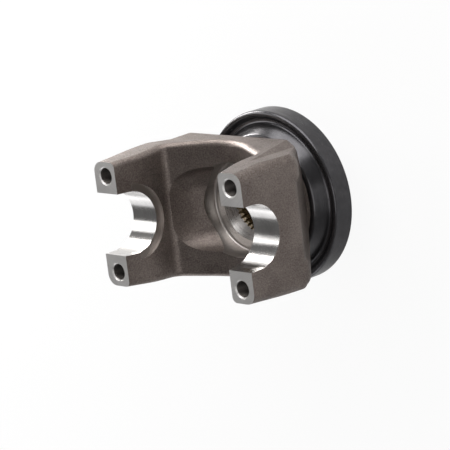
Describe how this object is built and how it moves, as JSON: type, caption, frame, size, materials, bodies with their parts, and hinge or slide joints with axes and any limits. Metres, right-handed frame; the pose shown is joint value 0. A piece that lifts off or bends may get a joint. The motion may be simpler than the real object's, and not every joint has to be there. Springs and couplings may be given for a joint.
{
  "type": "splined end yoke",
  "caption": "Forged steel drive shaft end yoke with half-round bearing cup seats, tapped strap bolt holes, a splined hub and a pressed dust slinger.",
  "frame": {"origin": "centre of the hub's rear end face, where the shaft seal's journal ends", "axes": "+Z along the shaft axis, from the hub towards the ears' end faces; X across the two ears, along the bearing cups' axis; Y along each pair of bolt holes"},
  "size_m": [0.161, 0.1396, 0.15],
  "materials": {
    "forged_steel": "shot-blasted forged skin with milled and turned faces",
    "black_slinger": "semi-gloss black"
  },
  "bodies": {
    "root": {"yoke": "forged_steel", "dust_slinger": "black_slinger"}
  },
  "joints": []
}
